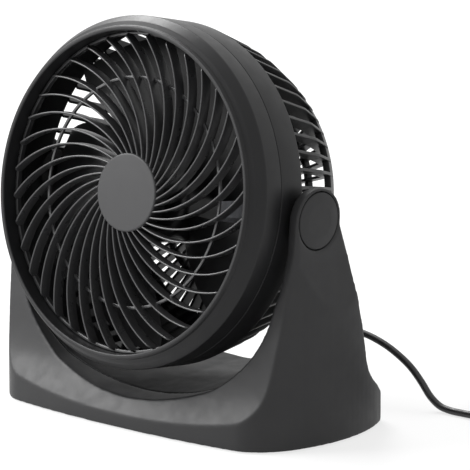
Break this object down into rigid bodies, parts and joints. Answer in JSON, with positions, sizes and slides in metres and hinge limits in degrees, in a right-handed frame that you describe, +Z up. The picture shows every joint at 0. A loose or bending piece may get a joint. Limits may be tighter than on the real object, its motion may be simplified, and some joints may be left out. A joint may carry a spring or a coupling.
{
  "type": "air circulator fan",
  "caption": "Table air circulator fan: round head with a swirled front grille that tilts between the arms of a moulded base, rear knob, and mains cord wound behind it.",
  "frame": {"origin": "middle of the width and depth, on the surface the fan stands on, without its cord", "axes": "+Z up, the front grille faces -Y, +X to the viewer's right"},
  "size_m": [0.4015, 0.283, 0.2819],
  "materials": {
    "base_plastic": "fine moulded texture, satin",
    "head_plastic": "fine moulded texture, satin",
    "grille_plastic": "smooth moulded, satin",
    "blade_plastic": "smooth moulded",
    "knob_plastic": "fine moulded texture",
    "rubber": "matte",
    "cord_vinyl": "smooth, slightly shiny",
    "natural_nylon": "smooth",
    "zinc_steel": "zinc plated",
    "motor_steel": "stamped and plated",
    "copper_winding": "enamelled wire",
    "bronze": "sintered, oiled",
    "plug_brass": "plated"
  },
  "bodies": {
    "base": {"base_front_shell": "base_plastic", "base_rear_shell": "base_plastic", "rubber_foot_front_left": "rubber", "rubber_foot_front_right": "rubber", "rubber_foot_back_left": "rubber", "rubber_foot_back_right": "rubber", "base_screw_front_left": "zinc_steel", "base_screw_front_right": "zinc_steel", "base_screw_side_left": "zinc_steel", "base_screw_side_right": "zinc_steel", "pivot_cap_left": "base_plastic", "pivot_cap_right": "base_plastic", "cord_lead": "cord_vinyl", "cord_coil": "cord_vinyl", "cord_tie": "rubber", "plug_body": "cord_vinyl", "plug_blade_left": "plug_brass", "plug_blade_right": "plug_brass"},
    "head": {"front_ring": "head_plastic", "front_grille": "grille_plastic", "rear_housing": "head_plastic", "ring_clip_top": "head_plastic", "ring_clip_left": "head_plastic", "ring_clip_right": "head_plastic", "motor_plate": "head_plastic", "motor_stator": "motor_steel", "motor_winding_rear": "copper_winding", "motor_winding_front": "copper_winding", "motor_rear_bracket": "motor_steel", "motor_front_bracket": "motor_steel", "rear_bearing": "bronze", "front_bearing": "bronze", "motor_screw_1": "zinc_steel", "motor_screw_2": "zinc_steel", "motor_screw_3": "zinc_steel", "motor_screw_4": "zinc_steel", "motor_cover": "head_plastic", "speed_switch": "natural_nylon", "strain_relief": "cord_vinyl", "friction_washer_left": "natural_nylon", "friction_washer_right": "natural_nylon", "pivot_washer_left": "zinc_steel", "pivot_washer_right": "zinc_steel", "pivot_screw_left": "zinc_steel", "pivot_screw_right": "zinc_steel"},
    "blade": {"rotor_shaft": "motor_steel", "fan_blade": "blade_plastic", "hub_nut": "knob_plastic"},
    "knob": {"speed_knob": "knob_plastic"}
  },
  "joints": [
    {"name": "head_tilt", "type": "hinge", "parent": "base", "child": "head", "pos_m": [0, -0.0073, 0.1555], "axis": [-1, 0, 0], "range_deg": [-9.69, 80.31]},
    {"name": "blade_spin", "type": "hinge", "parent": "head", "child": "blade", "pos_m": [0, -0.0073, 0.1555], "axis": [0, -0.9857, 0.1683], "continuous": true},
    {"name": "knob_turn", "type": "hinge", "parent": "head", "child": "knob", "pos_m": [0, -0.0073, 0.1555], "axis": [0, -0.9857, 0.1683], "range_deg": [0, 135]}
  ]
}
